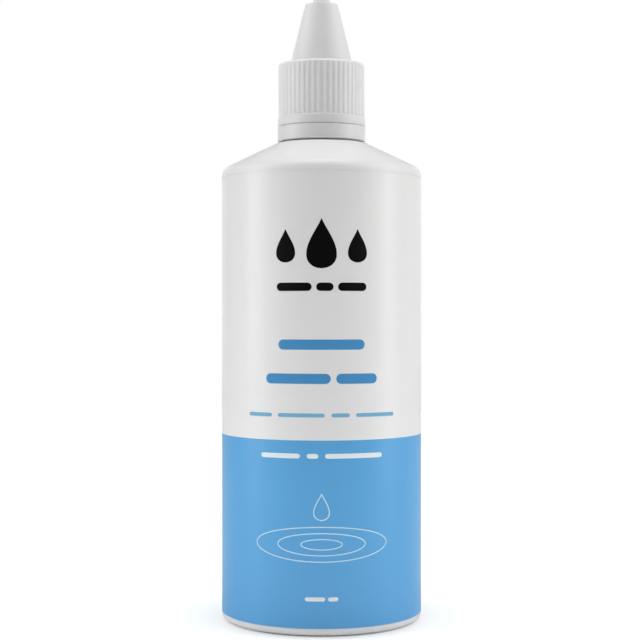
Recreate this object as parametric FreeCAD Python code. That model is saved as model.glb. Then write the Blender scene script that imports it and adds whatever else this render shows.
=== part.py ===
"""Contact lens solution bottle, 360 ml: a blow-moulded bottle with a pressed-in pouring nozzle, a ribbed
screw cap on a coarse closure thread, a tamper-evident band under the cap, a wrap-round film label and the
saline inside.

Millimetres. +Z is up, the origin is the middle of the circle that the bottle stands on, -Y is the front.
A flat is a straight cut across a corner, and its size is what it takes off each side.
"""

import FreeCAD, Part
import math
import os

from FreeCAD import Vector

# ---- bottle body
body_diameter = 61.0
heel_radius = 2.2  # round between the standing ring and the wall
standing_ring_width = 3.4
push_up_height = 3.0  # how far the middle of the base is domed inward
push_up_slope_width = 4.0
push_up_flat = 1.6
wall = 0.9
floor_thickness = 1.3
shoulder_corner_height = 136.6  # where wall and sloping shoulder would meet in a sharp corner
shoulder_radius = 3.3
shoulder_angle = 25.8  # rise of the shoulder above level, degrees
inside_shoulder_flat = 2.2
inside_neck_flat = 0.8

# ---- neck finish, 24 mm size with a tamper bead
ledge_diameter = 27.8  # flat land at the foot of the neck, under the tamper band
neck_diameter = 21.8
neck_bore_diameter = 18.6
finish_height = 20.9  # from the land to the top of the neck
neck_edge_flat = 0.3
neck_foot_flat = 0.4
bead_diameter = 24.6
bead_height_above_ledge = 3.4
bead_undercut = 0.2
bead_land = 0.7
bead_lead_in = 1.5  # height of the slope that the band snaps over

# ---- closure thread, single start, right handed
thread_diameter = 23.9
thread_pitch = 3.175
thread_turns = 1.5
thread_drop = 2.6  # from the top of the neck to the middle of the highest ridge
thread_flank_angle = 30.0
neck_ridge_crest = 0.9
cap_ridge_crest = 0.6
thread_clearance = 0.25  # crest to root, on the neck and in the cap alike
thread_end_lean = 62.0  # how far each ridge end leans away from straight across, degrees
thread_rooting = 0.3  # how deep a ridge is rooted in the wall that carries it

# ---- nozzle insert
nozzle_flange_diameter = 21.0
nozzle_flange_thickness = 1.1
nozzle_plug_length = 7.0
nozzle_plug_wall = 1.1
nozzle_plug_clearance = 0.05
nozzle_plug_lead_in = 0.6
spout_foot_diameter = 15.6
spout_tip_diameter = 5.0
spout_height = 18.7
spout_wall = 1.1
spout_tip_flat = 0.4
orifice_diameter = 1.2
orifice_length = 2.4

# ---- screw cap
skirt_wall = 0.8
rib_count = 50
rib_depth = 0.15
rib_crest_share = 0.34  # crest width as a share of the rib spacing
rib_root_share = 0.30
cap_flange_height = 2.9
cap_flange_flat = 0.3
cap_lead_in = 0.35
cap_roof_thickness = 2.25
cap_edge_flat = 0.45
cap_rim_height = 0.7  # plain rim above the ribs
cone_foot_diameter = 19.2
cone_top_diameter = 10.0
cone_height = 18.5
cone_wall = 1.1
cone_top_thickness = 1.2
cone_top_flat = 0.25
stub_diameter = 5.0
stub_height = 1.65
stub_flat = 0.25
pin_clearance = 0.1
pin_depth = 1.6  # how far the sealing pin enters the orifice
pin_flat = 0.2

# ---- tamper-evident band
band_height = 4.45
band_wall = 0.85
band_clearance = 0.3
band_gap_over_ledge = 0.6
band_edge_flat = 0.3
band_step = 0.05  # the band stands this much proud of the cap's flange, on the radius
bridge_count = 10
bridge_height = 0.15
bridge_width = 0.8
bridge_inset = 0.2
snap_rib_thickness = 1.4
snap_rib_reach = 1.0
snap_rib_count = 6
snap_rib_share = 0.7  # part of the circle that the interrupted snap rib covers

# ---- label and contents
panel_depth = 0.15
panel_lip = 0.15  # plain wall left between the heel and the label panel
panel_top_margin = 0.5
label_thickness = 0.10
label_glue = 0.03
label_edge_clearance = 0.05
label_seam_gap = 1.5
fill_height = 136.7
contents_clearance = 0.12

# ---- places that follow from the sizes above
FULL_TURN = 360.0
BACK = 90.0
AXIS = Vector(0, 0, 1)
ORIGIN = Vector(0, 0, 0)

body_radius = body_diameter / 2
panel_radius = body_radius - panel_depth
slope = math.radians(shoulder_angle)
wall_top = shoulder_corner_height - shoulder_radius * math.tan((math.pi / 2 - slope) / 2)
panel_bottom = heel_radius + panel_lip
panel_top = wall_top - panel_top_margin
ledge_height = shoulder_corner_height + (body_radius - ledge_diameter / 2) * math.tan(slope)
neck_radius = neck_diameter / 2
neck_top = ledge_height + finish_height
bead_bottom = ledge_height + bead_height_above_ledge

thread_depth = (thread_diameter - neck_diameter) / 2
cap_bore_radius = thread_diameter / 2 + thread_clearance
neck_thread_start = neck_top - thread_drop - thread_turns * thread_pitch
cap_thread_start = neck_thread_start - thread_pitch / 2

band_inner_radius = bead_diameter / 2 + band_clearance
band_outer_radius = band_inner_radius + band_wall
band_bottom = ledge_height + band_gap_over_ledge
band_top = band_bottom + band_height

seat = neck_top + nozzle_flange_thickness  # where the cap's roof bears on the nozzle's flange
spout_tip = seat + spout_height
flange_radius = band_outer_radius - band_step
skirt_radius = cap_bore_radius + skirt_wall + rib_depth
cap_bottom = band_top + bridge_height
cap_top = seat + cap_roof_thickness
cone_top = cap_top + cone_height
cone_inside_top = cone_top - cone_top_thickness


def corner(across, height, arc=0.0, flat=0.0):
    """A corner of a half-section: sharp, or broken by an arc of this radius or by a flat of this size."""
    return across, height, arc, flat


def half_section(corners):
    """Closed face in the XZ half-plane through the given corners."""
    points = [Vector(across, 0, height) for across, height, _, _ in corners]
    edges = []
    passes = []
    for i, (_, _, arc, flat) in enumerate(corners):
        here = points[i]
        to_last = (points[i - 1] - here).normalize()
        to_next = (points[(i + 1) % len(points)] - here).normalize()
        half = to_last.getAngle(to_next) / 2
        reach = arc / math.tan(half) if arc else flat
        enter = here + to_last * reach
        leave = here + to_next * reach
        if arc:
            middle = here + (to_last + to_next).normalize() * (arc / math.sin(half) - arc)
            edges.append(Part.Arc(enter, middle, leave).toShape())
        elif flat:
            edges.append(Part.makeLine(enter, leave))
        passes.append((enter, leave))
    for (_, leave), (enter, _) in zip(passes, passes[1:] + passes[:1]):
        edges.append(Part.makeLine(leave, enter))
    return Part.Face(Part.Wire(Part.__sortEdges__(edges)))


def turned(corners, angle=FULL_TURN, start=0.0):
    """Solid of revolution about the bottle's axis, counter-clockwise from the start angle."""
    solid = half_section(corners).revolve(ORIGIN, AXIS, angle)
    solid.rotate(ORIGIN, AXIS, start)
    return solid


def ring_of(count, make, start=0.0):
    """The same solid made count times, evenly spaced round the axis."""
    return [make(start + i * FULL_TURN / count) for i in range(count)]


# ---- closure thread


def ridge_end_cutter(root_radius, side):
    """Prism that takes the blunt end off a thread ridge, which then rises out of the wall over a slope."""
    lean = math.radians(thread_end_lean)
    along = Vector(side * math.cos(lean), math.sin(lean), 0)
    away = Vector(side * math.sin(lean), -math.cos(lean), 0)
    root = Vector(root_radius, 0, -thread_pitch / 2)
    near = root - along * thread_rooting
    far = root + along * thread_pitch
    outline = Part.makePolygon([near, far, far + away * thread_pitch, near + away * thread_pitch, near])
    return Part.Face(outline).extrude(AXIS * thread_pitch)


def thread_ridge(root_radius, side, crest_width, start_height):
    """Helical ridge of trapezoid section, standing out from a neck (side 1) or in from a bore (side -1)."""
    crest_radius = root_radius + side * thread_depth
    rooted_radius = root_radius - side * thread_rooting
    half_crest = crest_width / 2
    half_root = half_crest + (thread_depth + thread_rooting) * math.tan(math.radians(thread_flank_angle))
    section = Part.makePolygon([
        Vector(rooted_radius, 0, -half_root),
        Vector(crest_radius, 0, -half_crest),
        Vector(crest_radius, 0, half_crest),
        Vector(rooted_radius, 0, half_root),
        Vector(rooted_radius, 0, -half_root),
    ])
    rise = thread_turns * thread_pitch
    path = Part.Wire(Part.makeHelix(thread_pitch, rise, root_radius).Edges)
    low_end = ridge_end_cutter(root_radius, side)
    high_end = low_end.mirror(ORIGIN, Vector(0, 1, 0))
    high_end.rotate(ORIGIN, AXIS, thread_turns * FULL_TURN)
    high_end.translate(AXIS * rise)
    ridge = path.makePipeShell([section], True, True).cut([low_end, high_end])
    ridge.translate(AXIS * start_height)
    return ridge


# ---- bottle and what it holds


def push_up_corners(lift, flat=0.0):
    """Underside of the base, or the floor this much above it: a shallow dome inside the standing ring."""
    foot = body_radius - heel_radius - standing_ring_width
    return [
        corner(0, push_up_height + lift),
        corner(foot - push_up_slope_width, push_up_height + lift, flat=flat),
        corner(foot, lift, flat=flat),
    ]


def inside_corners(gap):
    """Outline of the space inside the bottle, held back from the wall by a gap."""
    inset = wall + gap
    inner_radius = panel_radius - inset
    drop = inset / math.cos(slope)
    corner_height = shoulder_corner_height + (body_radius - inner_radius) * math.tan(slope) - drop
    roof_height = ledge_height - inset
    roof_radius = body_radius - (roof_height + drop - shoulder_corner_height) / math.tan(slope)
    bore_radius = neck_bore_diameter / 2 - gap
    beyond = neck_top + finish_height
    return push_up_corners(floor_thickness + gap) + [
        corner(inner_radius, floor_thickness + gap),
        corner(inner_radius, corner_height, flat=inside_shoulder_flat),
        corner(roof_radius, roof_height),
        corner(bore_radius, roof_height, flat=inside_neck_flat),
        corner(bore_radius, beyond),
        corner(0, beyond),
    ]


def bottle():
    """Blow-moulded shell: domed base, heel, label panel, sloping shoulder, neck with bead and thread."""
    bead_radius = bead_diameter / 2
    bead_top = bead_bottom + bead_undercut + bead_land
    outside = push_up_corners(0, push_up_flat) + [
        corner(body_radius, 0, arc=heel_radius),
        corner(body_radius, panel_bottom),
        corner(panel_radius, panel_bottom),
        corner(panel_radius, panel_top),
        corner(body_radius, panel_top),
        corner(body_radius, shoulder_corner_height, arc=shoulder_radius),
        corner(ledge_diameter / 2, ledge_height),
        corner(neck_radius, ledge_height, flat=neck_foot_flat),
        corner(neck_radius, bead_bottom),
        corner(bead_radius, bead_bottom + bead_undercut),
        corner(bead_radius, bead_top),
        corner(neck_radius, bead_top + bead_lead_in),
        corner(neck_radius, neck_top, flat=neck_edge_flat),
        corner(0, neck_top),
    ]
    ridge = thread_ridge(neck_radius, 1, neck_ridge_crest, neck_thread_start)
    return turned(outside).fuse(ridge).cut(turned(inside_corners(0))).removeSplitter()


def saline_solution():
    """The liquid, up to its level in a full bottle that stands upright."""
    return turned(inside_corners(contents_clearance)).common(Part.makeCylinder(body_radius, fill_height))


def wrap_label():
    """Film label wrapped round the panel, with its two ends a little apart at the back."""
    inner = panel_radius + label_glue
    outer = inner + label_thickness
    low = panel_bottom + label_edge_clearance
    high = panel_top - label_edge_clearance
    seam = math.degrees(label_seam_gap / outer)
    section = [corner(inner, low), corner(outer, low), corner(outer, high), corner(inner, high)]
    return turned(section, FULL_TURN - seam, BACK + seam / 2)


# ---- nozzle insert


def spout_radius(height):
    """Outside radius of the tapering spout at a height."""
    share = (height - seat) / spout_height
    return (spout_foot_diameter + (spout_tip_diameter - spout_foot_diameter) * share) / 2


def nozzle_insert():
    """Plug pressed into the neck, with a flange on the rim and a hollow spout ending in a fine orifice."""
    plug_radius = neck_bore_diameter / 2 - nozzle_plug_clearance
    plug_bottom = neck_top - nozzle_plug_length
    rim_radius = nozzle_flange_diameter / 2
    outside = [
        corner(0, plug_bottom),
        corner(plug_radius - nozzle_plug_lead_in, plug_bottom),
        corner(plug_radius, plug_bottom + 2 * nozzle_plug_lead_in),
        corner(plug_radius, neck_top),
        corner(rim_radius, neck_top),
        corner(rim_radius, seat),
        corner(spout_foot_diameter / 2, seat),
        corner(spout_tip_diameter / 2, spout_tip, flat=spout_tip_flat),
        corner(0, spout_tip),
    ]
    orifice_bottom = spout_tip - orifice_length
    bore = plug_radius - nozzle_plug_wall
    beyond = nozzle_flange_thickness
    inside = [
        corner(0, plug_bottom - beyond),
        corner(bore, plug_bottom - beyond),
        corner(bore, neck_top),
        corner(spout_radius(neck_top) - spout_wall, neck_top),
        corner(spout_radius(orifice_bottom) - spout_wall, orifice_bottom),
        corner(orifice_diameter / 2, orifice_bottom),
        corner(orifice_diameter / 2, spout_tip + beyond),
        corner(0, spout_tip + beyond),
    ]
    return turned(outside).cut(turned(inside))


# ---- screw cap


def cone_radius(height):
    """Outside radius of the cap's cone at a height, also below the roof."""
    share = (height - cap_top) / cone_height
    return (cone_foot_diameter + (cone_top_diameter - cone_foot_diameter) * share) / 2


def ribs(bottom, top):
    """Plain prism with fine upright ribs round it."""
    spacing = 2 * math.pi / rib_count
    crest = spacing * rib_crest_share / 2
    root = spacing * (1 - rib_root_share) / 2
    root_radius = skirt_radius - rib_depth
    outline = []
    for i in range(rib_count):
        rib = [(-root, root_radius), (-crest, skirt_radius), (crest, skirt_radius), (root, root_radius)]
        for turn, radius in rib:
            angle = i * spacing + turn
            outline.append(Vector(radius * math.cos(angle), radius * math.sin(angle), bottom))
    return Part.Face(Part.makePolygon(outline + outline[:1])).extrude(AXIS * (top - bottom))


def cap_inside():
    """Space inside the cap: threaded bore, then a cone that clears the spout."""
    below = cap_bottom - cap_lead_in
    return turned([
        corner(0, below),
        corner(cap_bore_radius + 2 * cap_lead_in, below),
        corner(cap_bore_radius, cap_bottom + cap_lead_in),
        corner(cap_bore_radius, seat),
        corner(cone_radius(seat) - cone_wall, seat),
        corner(cone_radius(cone_inside_top) - cone_wall, cone_inside_top, flat=cone_top_flat),
        corner(0, cone_inside_top),
    ])


def sealing_pin():
    """Pin under the cap's top that plugs the spout's orifice."""
    radius = orifice_diameter / 2 - pin_clearance
    tip = spout_tip - pin_depth
    top = cone_inside_top + cone_top_thickness / 2
    return turned([corner(0, tip), corner(radius, tip, flat=pin_flat), corner(radius, top), corner(0, top)])


def screw_cap():
    """Ribbed skirt between a flange and a plain rim, cone with a stub on top; thread and pin inside."""
    flange_top = cap_bottom + cap_flange_height
    rim_bottom = cap_top - cap_rim_height
    stub_top = cone_top + stub_height
    flange = turned([
        corner(0, cap_bottom),
        corner(flange_radius, cap_bottom),
        corner(flange_radius, flange_top, flat=cap_flange_flat),
        corner(0, flange_top),
    ])
    top = turned([
        corner(0, rim_bottom),
        corner(skirt_radius, rim_bottom),
        corner(skirt_radius, cap_top, flat=cap_edge_flat),
        corner(cone_foot_diameter / 2, cap_top),
        corner(cone_top_diameter / 2, cone_top, flat=cone_top_flat),
        corner(stub_diameter / 2, cone_top),
        corner(stub_diameter / 2, stub_top, flat=stub_flat),
        corner(0, stub_top),
    ])
    shell = flange.fuse([ribs(flange_top, rim_bottom), top]).cut(cap_inside())
    ridge = thread_ridge(cap_bore_radius, -1, cap_ridge_crest, cap_thread_start)
    return shell.fuse([ridge, sealing_pin()]).removeSplitter()


# ---- tamper-evident band


def snap_rib(start):
    """One stretch of the interrupted rib that catches under the neck's bead."""
    top = bead_bottom - band_clearance
    rooted = band_inner_radius + band_wall / 2
    reach = band_inner_radius - snap_rib_reach
    bottom = top - snap_rib_thickness
    middle = (bottom + top) / 2
    section = [corner(rooted, bottom), corner(reach, middle), corner(reach, top), corner(rooted, top)]
    return turned(section, FULL_TURN / snap_rib_count * snap_rib_share, start)


def bridge(start):
    """One thin bridge between the band and the cap, which tears when the cap is first unscrewed."""
    inner = cap_bore_radius + cap_lead_in + bridge_inset
    outer = flange_radius - bridge_inset
    low = band_top - bridge_height
    section = [corner(inner, low), corner(outer, low), corner(outer, cap_bottom), corner(inner, cap_bottom)]
    return turned(section, math.degrees(bridge_width / outer), start)


def tamper_band():
    """Band that stays on the neck once its bridges to the cap are torn."""
    ring = turned([
        corner(band_inner_radius, band_bottom),
        corner(band_outer_radius, band_bottom, flat=band_edge_flat),
        corner(band_outer_radius, band_top),
        corner(band_inner_radius, band_top),
    ])
    return ring.fuse(ring_of(snap_rib_count, snap_rib) + ring_of(bridge_count, bridge)).removeSplitter()


SUB_PARTS = [bottle, nozzle_insert, screw_cap, tamper_band, wrap_label, saline_solution]

os.makedirs("parts", exist_ok=True)
for make in SUB_PARTS:
    make().exportStep(f"parts/{make.__name__}.step")
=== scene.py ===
"""Looks of the contact lens solution bottle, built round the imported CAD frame.

Metres, +Z up, the origin under the middle of the bottle, -Y is the front.
"""

import math
import random

import bmesh
import bpy
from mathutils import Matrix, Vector


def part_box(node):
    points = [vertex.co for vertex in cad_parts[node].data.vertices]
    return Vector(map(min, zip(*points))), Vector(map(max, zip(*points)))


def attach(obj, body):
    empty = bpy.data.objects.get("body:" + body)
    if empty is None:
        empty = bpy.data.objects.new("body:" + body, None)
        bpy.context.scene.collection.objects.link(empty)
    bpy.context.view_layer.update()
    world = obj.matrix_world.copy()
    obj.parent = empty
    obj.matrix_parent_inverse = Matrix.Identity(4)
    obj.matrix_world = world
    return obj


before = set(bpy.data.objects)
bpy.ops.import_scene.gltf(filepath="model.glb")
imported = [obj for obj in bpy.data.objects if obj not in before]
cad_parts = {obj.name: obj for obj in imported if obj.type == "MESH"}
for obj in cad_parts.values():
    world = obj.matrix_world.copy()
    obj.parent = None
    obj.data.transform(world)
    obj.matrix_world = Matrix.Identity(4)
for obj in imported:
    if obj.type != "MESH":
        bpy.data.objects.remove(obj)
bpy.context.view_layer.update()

MM = 0.001
LABEL_LOW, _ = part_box("wrap_label")
LABEL_RADIUS = -LABEL_LOW.y


# ---- materials

# Linear colours. A pair is the two close tones that a surface drifts between.
BOTTLE_TONES = (0.85, 0.85, 0.85), (0.865, 0.865, 0.862)
CAP_TONES = (0.805, 0.805, 0.805), (0.820, 0.820, 0.818)
NOZZLE_TONES = (0.78, 0.79, 0.79), (0.80, 0.81, 0.81)
LABEL_WHITES = (0.86, 0.86, 0.86), (0.87, 0.868, 0.862)
LABEL_BLUES = (0.100, 0.405, 0.769), (0.104, 0.409, 0.775)  # fitted by a solver, with the lamps' powers
SALINE = (0.96, 0.985, 1.0)
BLACK_INK = (0.001, 0.001, 0.0012)
BLUE_INK = (0.072, 0.30, 0.60)
BLUE_INK_THIN = (0.20, 0.48, 0.70)  # thin print looks paler than broad print
WHITE_INK = (0.86, 0.93, 0.96)
WHITE_INK_THIN = (0.56, 0.80, 0.94)

BLUE_TOP = 56.5 * MM  # the label is blue below this height and white above it
SALINE_IOR = 1.334

# Scales of noise, in cells per metre: 1000 gives cells of about 1 mm.
COOLING_WAVES = 60
FILM_TONES = 45
FILM_WAVES = 900
INK_GRAIN = 2500
LIQUID_WAVES = 90

TONE_ENDS = (0.35, 0.65)  # between these values of the noise one tone passes into the other
RIDGE_REACH = 0.22 * MM  # from the middle of the parting line to its foot
RIDGE_HEIGHT = 4.0  # in heights of the surface grain


def material(name, colour, roughness, specular=0.5):
    """A Principled material with its plain numbers set on the shader's own sockets."""
    made = bpy.data.materials.new(name)
    made.use_nodes = True
    shader = made.node_tree.nodes["Principled BSDF"]
    shader.inputs["Base Color"].default_value = (*colour, 1)
    shader.inputs["Roughness"].default_value = roughness
    shader.inputs["Specular IOR Level"].default_value = specular
    return made, made.node_tree.nodes, made.node_tree.links, shader


def noise(nodes, links, scale, detail=2.0, stretch=(1, 1, 1)):
    """Noise in the object's own metres, so that it stays on the piece in every view."""
    place = nodes.new("ShaderNodeTexCoord")
    mapping = nodes.new("ShaderNodeMapping")
    mapping.inputs["Scale"].default_value = stretch
    texture = nodes.new("ShaderNodeTexNoise")
    texture.inputs["Scale"].default_value = scale
    texture.inputs["Detail"].default_value = detail
    links.new(place.outputs["Object"], mapping.inputs["Vector"])
    links.new(mapping.outputs["Vector"], texture.inputs["Vector"])
    return texture.outputs["Fac"]


def bump(nodes, links, shader, height, strength, distance):
    """Fine relief, shown by the shader alone."""
    made = nodes.new("ShaderNodeBump")
    made.inputs["Strength"].default_value = strength
    made.inputs["Distance"].default_value = distance
    links.new(height, made.inputs["Height"])
    links.new(made.outputs["Normal"], shader.inputs["Normal"])


def uneven_gloss(nodes, links, shader, value, roughness, drift):
    """Roughness that follows the noise, from drift below its middle to drift above it."""
    made = nodes.new("ShaderNodeMapRange")
    made.inputs["To Min"].default_value = roughness - drift
    made.inputs["To Max"].default_value = roughness + drift
    links.new(value, made.inputs["Value"])
    links.new(made.outputs["Result"], shader.inputs["Roughness"])


def tinted(nodes, links, value, tones):
    """Colour that wanders between two close tones."""
    ramp = nodes.new("ShaderNodeValToRGB")
    for stop, end, tone in zip(ramp.color_ramp.elements, TONE_ENDS, tones):
        stop.position = end
        stop.color = (*tone, 1)
    links.new(value, ramp.inputs["Fac"])
    return ramp.outputs["Color"]


def parting_line(nodes, links, grain):
    """Surface height with the fine ridge that a blow mould's halves leave at left and right."""
    place = nodes.new("ShaderNodeTexCoord")
    split = nodes.new("ShaderNodeSeparateXYZ")
    off = nodes.new("ShaderNodeMath")
    off.operation = "ABSOLUTE"
    ridge = nodes.new("ShaderNodeMapRange")
    ridge.interpolation_type = "SMOOTHSTEP"
    ridge.inputs["From Max"].default_value = RIDGE_REACH
    ridge.inputs["To Min"].default_value = RIDGE_HEIGHT
    ridge.inputs["To Max"].default_value = 0.0
    total = nodes.new("ShaderNodeMath")
    links.new(place.outputs["Object"], split.inputs["Vector"])
    links.new(split.outputs["Y"], off.inputs[0])
    links.new(off.outputs["Value"], ridge.inputs["Value"])
    links.new(grain, total.inputs[0])
    links.new(ridge.outputs["Result"], total.inputs[1])
    return total.outputs["Value"]


def moulded(name, tones, roughness, grain, depth, specular=0.5, seep=0.0, blown=False):
    """Moulded plastic: a fine surface grain, slow waves left by cooling, and a faint drift of
    tone and gloss. seep is how far light spreads in plastic that is slightly translucent."""
    made, nodes, links, shader = material(name, tones[0], roughness, specular)
    if seep:
        shader.inputs["Subsurface Weight"].default_value = 1.0
        shader.inputs["Subsurface Radius"].default_value = (1, 1, 1)
        shader.inputs["Subsurface Scale"].default_value = seep
    slow = noise(nodes, links, COOLING_WAVES)
    links.new(tinted(nodes, links, slow, tones), shader.inputs["Base Color"])
    uneven_gloss(nodes, links, shader, slow, roughness, drift=0.03)
    height = noise(nodes, links, grain, detail=3.0)
    if blown:
        height = parting_line(nodes, links, height)
    bump(nodes, links, shader, height, 0.25, depth)
    return made


def film(name):
    """Printed film: white above, a blue field below, and a film's faint waviness."""
    made, nodes, links, shader = material(name, LABEL_WHITES[0], roughness=0.34)
    place = nodes.new("ShaderNodeTexCoord")
    split = nodes.new("ShaderNodeSeparateXYZ")
    above = nodes.new("ShaderNodeMath")
    above.operation = "GREATER_THAN"
    above.inputs[1].default_value = BLUE_TOP
    mix = nodes.new("ShaderNodeMix")
    mix.data_type = "RGBA"
    slow = noise(nodes, links, FILM_TONES)
    links.new(place.outputs["Object"], split.inputs["Vector"])
    links.new(split.outputs["Z"], above.inputs[0])
    links.new(above.outputs["Value"], mix.inputs["Factor"])
    links.new(tinted(nodes, links, slow, LABEL_BLUES), mix.inputs["A"])
    links.new(tinted(nodes, links, slow, LABEL_WHITES), mix.inputs["B"])
    links.new(mix.outputs["Result"], shader.inputs["Base Color"])
    waves = noise(nodes, links, FILM_WAVES, stretch=(1, 1, 0.4))
    bump(nodes, links, shader, waves, 0.12, 0.02 * MM)
    return made


def liquid(name):
    """Clear liquid with a barely uneven surface."""
    made, nodes, links, shader = material(name, SALINE, roughness=0.02)
    shader.inputs["IOR"].default_value = SALINE_IOR
    shader.inputs["Transmission Weight"].default_value = 1.0
    bump(nodes, links, shader, noise(nodes, links, LIQUID_WAVES), 0.05, 0.1 * MM)
    return made


def ink(name, colour, roughness=0.45):
    """Printing ink: one colour with a fine uneven gloss."""
    made, nodes, links, shader = material(name, colour, roughness, specular=0.12)
    grain = noise(nodes, links, INK_GRAIN)
    uneven_gloss(nodes, links, shader, grain, roughness, drift=0.05)
    bump(nodes, links, shader, grain, 0.08, 0.01 * MM)
    return made


LOOKS = {
    "bottle": moulded("bottle_hdpe_look", BOTTLE_TONES, 0.38, 1600, 0.03 * MM, blown=True),
    "screw_cap": moulded(
        "cap_pp_look", CAP_TONES, 0.42, 2200, 0.02 * MM, specular=0.35, seep=1.0 * MM
    ),
    "tamper_band": moulded("band_pp_look", CAP_TONES, 0.38, 2200, 0.02 * MM),
    "nozzle_insert": moulded("nozzle_ldpe_look", NOZZLE_TONES, 0.32, 1800, 0.02 * MM),
    "wrap_label": film("label_film_look"),
    "saline_solution": liquid("saline_look"),
}
for node, look in LOOKS.items():
    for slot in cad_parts[node].material_slots:
        slot.material = look


# ---- print on the label: generic bars and motifs, laid on the label's cylinder

INK_LIFT = 0.02 * MM  # from the label's surface to the outside of the ink
INK_THICKNESS = INK_LIFT / 2
SAME_POINT = INK_LIFT / 100  # corners closer than this are one
COLUMN = 0.5 * MM  # widest column of a filled shape
FEWEST_COLUMNS = 8
INSIDE = 1e-7  # how far inside its two ends an outline is still read
ELLIPSE_POINTS = 96
DROP_POINTS = 64

# Front, in mm. A row of bars: height, thickness, lengths and the gap between the bars
EMBLEM_ROW = (100.6, 2.4, (10.5, 5.0, 8.6), 1.3)
TITLE_ROWS = (
    (84.0, 2.9, (25.6,), 0),
    (74.2, 2.9, (19.5, 12.6), 1.6),
)
SUBTITLE_ROW = (63.7, 1.1, (8.2, 14.0, 5.4, 13.0), 1.9)
FIELD_ROWS = (
    (52.0, 1.4, (12.4, 3.4, 17.6), 1.9),
    (10.9, 1.2, (5.9, 3.0), 0.8),
)

# A drop: middle, foot, height and width
EMBLEM_DROPS = (
    (0, 105.9, 14.4, 12.6),
    (-10.6, 107.6, 9.6, 8.4),
    (10.6, 107.6, 9.6, 8.4),
)
FALLING_DROP = (0, 33.6, 7.6, 6.4)

# A ripple: height, half its width and half its depth
RIPPLES = (
    (26.6, 20.2, 5.0),
    (26.6, 13.0, 3.2),
    (26.6, 6.0, 1.5),
)
RIPPLE_LINE = 0.34 * MM

# Small print at the back, in metres. The columns' left ends are measured from the front.
BACK_COLUMNS = (-87 * MM, 51 * MM)
LINE_LENGTH = 36 * MM
LAST_LINE_LENGTH = 22 * MM
LINE_PITCH = 2.9 * MM
LINE_THICKNESS = 0.95 * MM
WORD_GAP = 1.2 * MM
WORD_LENGTHS = (2.5, 8.5)  # shortest and longest, in mm


def on_label(across, height):
    """Point on the print's cylinder, from the distance round the label (front is 0, right is +)
    and the height."""
    radius = LABEL_RADIUS + INK_LIFT
    turn = across / radius
    return radius * math.sin(turn), -radius * math.cos(turn), height


def add_patch(mesh, left, right, low, high):
    """Filled shape between two curves, in columns that follow the label and narrow towards the
    shape's ends."""
    count = max(FEWEST_COLUMNS, math.ceil((right - left) / COLUMN))
    columns = []
    for i in range(count + 1):
        at = left + (right - left) * (1 - math.cos(math.pi * i / count)) / 2
        bottom = mesh.verts.new(on_label(at, low(at)))
        top = mesh.verts.new(on_label(at, high(at)))
        columns.append((bottom, top))
    for (a, b), (c, d) in zip(columns, columns[1:]):
        mesh.faces.new((a, c, d, b))


def add_bar(mesh, middle, height, length, thickness):
    """Bar with round ends."""
    radius, half = thickness / 2, length / 2

    def rise(at):
        past = max(0.0, abs(at - middle) - (half - radius))
        return math.sqrt(max(0.0, radius * radius - past * past))

    left, right = middle - half, middle + half
    add_patch(mesh, left, right, lambda at: height - rise(at), lambda at: height + rise(at))


def add_row(mesh, height, thickness, lengths, gap):
    """A centred row of bars, given in mm, which stands in for a line of words."""
    height, thickness, gap = height * MM, thickness * MM, gap * MM
    lengths = [length * MM for length in lengths]
    at = -(sum(lengths) + gap * (len(lengths) - 1)) / 2
    for length in lengths:
        add_bar(mesh, at + length / 2, height, length, thickness)
        at += length + gap


def add_outline(mesh, points, width):
    """Closed line of even width through points given as (across, height)."""
    pairs = []
    for i, (x, z) in enumerate(points):
        before, after = points[i - 1], points[(i + 1) % len(points)]
        along = Vector((after[0] - before[0], after[1] - before[1])).normalized() * width / 2
        one_side = mesh.verts.new(on_label(x - along.y, z + along.x))
        other_side = mesh.verts.new(on_label(x + along.y, z - along.x))
        pairs.append((one_side, other_side))
    for (a, b), (c, d) in zip(pairs, pairs[1:] + pairs[:1]):
        mesh.faces.new((a, b, d, c))


def add_filled(mesh, outline):
    """Filled outline, cut in columns. The outline meets each column twice."""
    left, right = min(x for x, z in outline), max(x for x, z in outline)
    sides = list(zip(outline, outline[1:] + outline[:1]))

    def edge(at, pick):
        at = min(max(at, left + INSIDE), right - INSIDE)
        heights = [
            z0 + (z1 - z0) * (at - x0) / (x1 - x0)
            for (x0, z0), (x1, z1) in sides
            if x0 != x1 and min(x0, x1) <= at <= max(x0, x1)
        ]
        return pick(heights)

    add_patch(mesh, left, right, lambda at: edge(at, min), lambda at: edge(at, max))


def ripple(height, half_width, half_depth):
    """Points of an ellipse in the middle of the front, given in mm."""
    height, half_width, half_depth = height * MM, half_width * MM, half_depth * MM
    turns = [math.radians(360 * i / ELLIPSE_POINTS) for i in range(ELLIPSE_POINTS)]
    return [(half_width * math.cos(t), height + half_depth * math.sin(t)) for t in turns]


def drop(middle, foot, tall, wide):
    """Points of a falling drop, given in mm and pointed at the top."""
    middle, foot, tall, wide = middle * MM, foot * MM, tall * MM, wide * MM
    points = []
    for i in range(DROP_POINTS):
        t = 2 * math.pi * i / DROP_POINTS
        across = middle + wide / 2 * math.sin(t) * math.sin(t / 2) ** 1.5
        points.append((across, foot + tall * (1 + math.cos(t)) / 2))
    return points


def add_paragraph(mesh, left, top, lines, words):
    """Lines of short bars, ranged left, which stand in for small print. The last line stops
    short."""
    for line in range(lines):
        at = left
        end = left + (LINE_LENGTH if line < lines - 1 else LAST_LINE_LENGTH)
        length = words.uniform(*WORD_LENGTHS) * MM
        while at + length < end:
            add_bar(mesh, at + length / 2, top - LINE_PITCH * line, length, LINE_THICKNESS)
            at += length + WORD_GAP
            length = words.uniform(*WORD_LENGTHS) * MM


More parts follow.
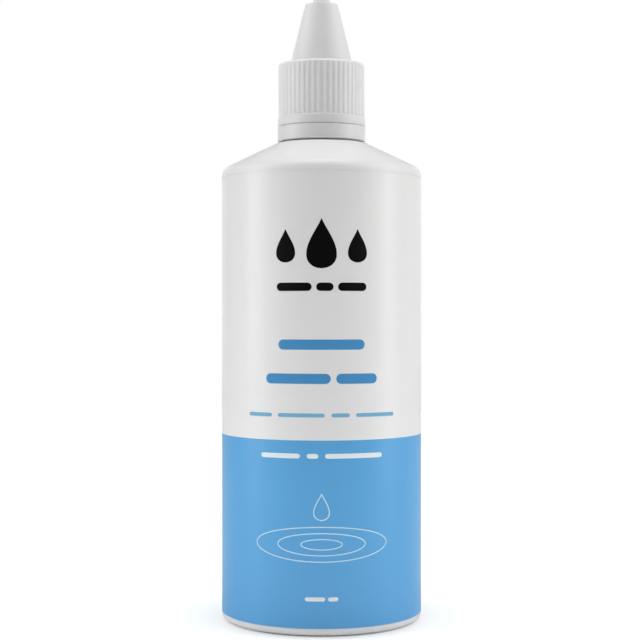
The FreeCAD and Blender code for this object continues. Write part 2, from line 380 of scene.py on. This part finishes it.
def add_small_print(mesh, seed, heading, paragraphs):
    """Both columns at the back. heading is a bar's height, length and thickness. A paragraph is
    the height of its first line and its number of lines. All are in mm."""
    words = random.Random(seed)
    height, length, thickness = (size * MM for size in heading)
    for left in BACK_COLUMNS:
        add_bar(mesh, left + length / 2, height, length, thickness)
        for top, lines in paragraphs:
            add_paragraph(mesh, left, top * MM, lines, words)


def draw_emblem(mesh):
    for sizes in EMBLEM_DROPS:
        add_filled(mesh, drop(*sizes))
    add_row(mesh, *EMBLEM_ROW)


def draw_titles(mesh):
    for row in TITLE_ROWS:
        add_row(mesh, *row)


def draw_subtitle(mesh):
    add_row(mesh, *SUBTITLE_ROW)


def draw_field_marks(mesh):
    for row in FIELD_ROWS:
        add_row(mesh, *row)


def draw_ripples(mesh):
    for sizes in RIPPLES:
        add_outline(mesh, ripple(*sizes), RIPPLE_LINE)
    add_outline(mesh, drop(*FALLING_DROP), RIPPLE_LINE)


def draw_back_text(mesh):
    add_small_print(mesh, 11, (122.0, 16, 1.8), ((116.8, 4), (102.8, 5), (85.9, 6)))


def draw_back_field_text(mesh):
    add_small_print(mesh, 12, (48.4, 12, 1.6), ((43.6, 4), (29.6, 3)))


def print_piece(name, look, draw):
    """One colour of print as a thin layer on the label."""
    mesh = bmesh.new()
    draw(mesh)
    data = bpy.data.meshes.new(name)
    bmesh.ops.remove_doubles(mesh, verts=mesh.verts, dist=SAME_POINT)
    bmesh.ops.recalc_face_normals(mesh, faces=mesh.faces)
    mesh.to_mesh(data)
    mesh.free()
    data.materials.append(look)
    for face in data.polygons:
        face.use_smooth = True
    piece = bpy.data.objects.new(name, data)
    bpy.context.scene.collection.objects.link(piece)
    layer = piece.modifiers.new("ink", "SOLIDIFY")
    layer.thickness = INK_THICKNESS
    layer.offset = -1
    piece.modifiers.new("even shading", "WEIGHTED_NORMAL")
    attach(piece, "filled_bottle")


black_ink = ink("ink_black", BLACK_INK)
blue_ink = ink("ink_blue", BLUE_INK)
thin_blue_ink = ink("ink_blue_thin", BLUE_INK_THIN)
white_ink = ink("ink_white", WHITE_INK)
thin_white_ink = ink("ink_white_thin", WHITE_INK_THIN)
print_piece("print_emblem", black_ink, draw_emblem)
print_piece("print_title_bars", blue_ink, draw_titles)
print_piece("print_subtitle_bars", thin_blue_ink, draw_subtitle)
print_piece("print_field_bars", white_ink, draw_field_marks)
print_piece("print_ripples", thin_white_ink, draw_ripples)
print_piece("print_back_bars", blue_ink, draw_back_text)
print_piece("print_back_field_bars", white_ink, draw_back_field_text)


# ---- studio

FLOOR_RADIUS = 0.95
FLOOR_SIDES = 128
FLOOR_GREY = (0.9, 0.9, 0.9)  # as the bottle sees the sweep
SHOWN_GREY = (0.7, 0.7, 0.7)  # as the camera sees it, under its glow

# Shade round the foot, partly real shade from the lamps and partly painted shade: the glow's strength
# grows with the distance from the middle, over the reach given, so a weaker glow near the foot paints
# shade there, and the painted shade reaches further in front than at the sides.
PAINTED_SHADE_REACH = (28.5 * MM, 78.5 * MM)
PAINTED_SHADE_OVAL = (1.06, 0.955, 1)
PAINTED_SHADE_STOPS = ((0.0, 0.10), (0.09, 0.38), (0.16, 0.47), (1.0, 0.75))  # share of the reach, strength

WORLD_LIGHT = 0.02  # as the bottle sees the surround
WORLD_SHOWN = 1.0  # as the camera sees it

AIM = Vector((0, 0, 0.095))  # the middle of the bottle
PANEL_DISTANCE = 1.0

# Kinds of panel: elevation in degrees, width and height in metres
LOW = (11, 0.36, 0.55)
HIGH = (42, 0.6, 0.5)
OVERHEAD = (88, 0.8, 0.8)

# Panels: name, azimuth in degrees (front is 0, right is +), kind, power in watts. The powers were
# fitted to the photograph's tones by a solver, then rounded and trimmed. So was the lamp's on the sweep.
PANELS = (
    ("side_low_left", -80, LOW, 2.46),
    ("side_low_right", 80, LOW, 2.38),
    ("front_low_left", -60, LOW, 0.58),
    ("front_low_right", 60, LOW, 0.42),
    ("rear_low_right", 125, LOW, 0.42),
    ("back_low_left", -155, LOW, 0.60),
    ("back_low_right", 155, LOW, 0.60),
    ("side_high_left", -90, HIGH, 2.32),
    ("side_high_right", 90, HIGH, 2.48),
    ("front_high_left", -45, HIGH, 0.72),
    ("front_high_right", 45, HIGH, 0.88),
    ("back_high", 180, HIGH, 0.48),
    ("top", 0, OVERHEAD, 4.90),
)

# The lamp that lies on the sweep, in front of the bottle, and shines up
SWEEP_LAMP = Vector((0, -0.155, 0.0005))
DOWN = Vector((0, 0, -1))


def split_by_ray(nodes, links, usual, shown, output):
    """Shows one shader to the camera's own rays and the usual one to all others."""
    ray = nodes.new("ShaderNodeLightPath")
    pick = nodes.new("ShaderNodeMixShader")
    links.new(ray.outputs["Is Camera Ray"], pick.inputs["Fac"])
    links.new(usual, pick.inputs[1])
    links.new(shown, pick.inputs[2])
    links.new(pick.outputs["Shader"], output.inputs["Surface"])


def overexposed_with_painted_shade(name):
    """The sweep: it shows white, yet throws no more light back than a white sheet does. Its glow to the
    camera is weaker near the foot, which paints shade round the foot over the real shade that the lamps
    cast.
    """
    made, nodes, links, shader = material(name, FLOOR_GREY, roughness=0.6)
    place = nodes.new("ShaderNodeTexCoord")
    oval = nodes.new("ShaderNodeMapping")
    oval.inputs["Scale"].default_value = PAINTED_SHADE_OVAL
    away = nodes.new("ShaderNodeVectorMath")
    away.operation = "LENGTH"
    past = nodes.new("ShaderNodeMapRange")
    past.inputs["From Min"].default_value, past.inputs["From Max"].default_value = PAINTED_SHADE_REACH
    # The ramp paints shade round the foot: little glow near the middle, more further out.
    rise = nodes.new("ShaderNodeValToRGB")
    stops = rise.color_ramp.elements
    for at, _ in PAINTED_SHADE_STOPS[1:-1]:
        stops.new(at)
    for stop, (_, strength) in zip(stops, PAINTED_SHADE_STOPS):
        stop.color = (strength, strength, strength, 1)
    glow = nodes.new("ShaderNodeEmission")
    sheet = nodes.new("ShaderNodeBsdfDiffuse")
    sheet.inputs["Color"].default_value = (*SHOWN_GREY, 1)
    shown = nodes.new("ShaderNodeAddShader")
    links.new(place.outputs["Object"], oval.inputs["Vector"])
    links.new(oval.outputs["Vector"], away.inputs[0])
    links.new(away.outputs["Value"], past.inputs["Value"])
    links.new(past.outputs["Result"], rise.inputs["Fac"])
    links.new(rise.outputs["Color"], glow.inputs["Strength"])
    links.new(sheet.outputs["BSDF"], shown.inputs[0])
    links.new(glow.outputs["Emission"], shown.inputs[1])
    usual, output = shader.outputs["BSDF"], nodes["Material Output"]
    split_by_ray(nodes, links, usual, shown.outputs["Shader"], output)
    return made


def soft_light(name, place, away, wide, tall, power):
    """Rectangular lamp at a place, which shines against the direction away."""
    data = bpy.data.lights.new(name, "AREA")
    data.shape = "RECTANGLE"
    data.size, data.size_y = wide, tall
    data.energy = power
    light = bpy.data.objects.new(name, data)
    light.location = place
    light.rotation_mode = "QUATERNION"
    light.rotation_quaternion = away.to_track_quat("Z", "Y")
    light.visible_camera = False
    bpy.context.scene.collection.objects.link(light)


def panel(name, azimuth, kind, power):
    """Soft panel aimed at the middle of the bottle."""
    elevation, wide, tall = kind
    a, e = math.radians(azimuth), math.radians(elevation)
    away = Vector((math.sin(a) * math.cos(e), -math.cos(a) * math.cos(e), math.sin(e)))
    soft_light(name, AIM + away * PANEL_DISTANCE, away, wide, tall, power)


floor_mesh = bmesh.new()
bmesh.ops.create_circle(floor_mesh, cap_ends=True, segments=FLOOR_SIDES, radius=FLOOR_RADIUS)
floor_data = bpy.data.meshes.new("studio_floor")
floor_mesh.to_mesh(floor_data)
floor_mesh.free()
floor_data.materials.append(overexposed_with_painted_shade("studio_floor"))
floor = bpy.data.objects.new("studio_floor", floor_data)
bpy.context.scene.collection.objects.link(floor)

for settings in PANELS:
    panel(*settings)
# Light that the overexposed sweep throws back up, in front of the bottle
soft_light("sweep_front", SWEEP_LAMP, DOWN, wide=0.30, tall=0.21, power=0.083)

# The camera sees a white surround, which adds hardly any light of its own.
world = bpy.data.worlds.new("studio")
world.use_nodes = True
nodes, links = world.node_tree.nodes, world.node_tree.links
dim = nodes["Background"]
white = nodes.new("ShaderNodeBackground")
for background, strength in ((dim, WORLD_LIGHT), (white, WORLD_SHOWN)):
    background.inputs["Color"].default_value = (1, 1, 1, 1)
    background.inputs["Strength"].default_value = strength
usual, shown = dim.outputs["Background"], white.outputs["Background"]
split_by_ray(nodes, links, usual, shown, nodes["World Output"])
bpy.context.scene.world = world
bpy.context.scene.view_settings.view_transform = "Standard"


# ---- camera

EYE = Vector((0, -463.5 * MM, 94.4 * MM))
LOOKS_AT = Vector((-0.475 * MM, 0, 90.844 * MM))  # the picture's middle shows this point
FOCAL_LENGTH = 85.05  # in mm, on a sensor 36 mm wide
SENSOR_WIDTH = 36

camera_data = bpy.data.cameras.new("camera")
camera_data.sensor_width = SENSOR_WIDTH
camera_data.lens = FOCAL_LENGTH
camera = bpy.data.objects.new("camera", camera_data)
camera.location = EYE
camera.rotation_mode = "QUATERNION"
camera.rotation_quaternion = (LOOKS_AT - EYE).to_track_quat("-Z", "Y")
bpy.context.scene.collection.objects.link(camera)
bpy.context.scene.camera = camera
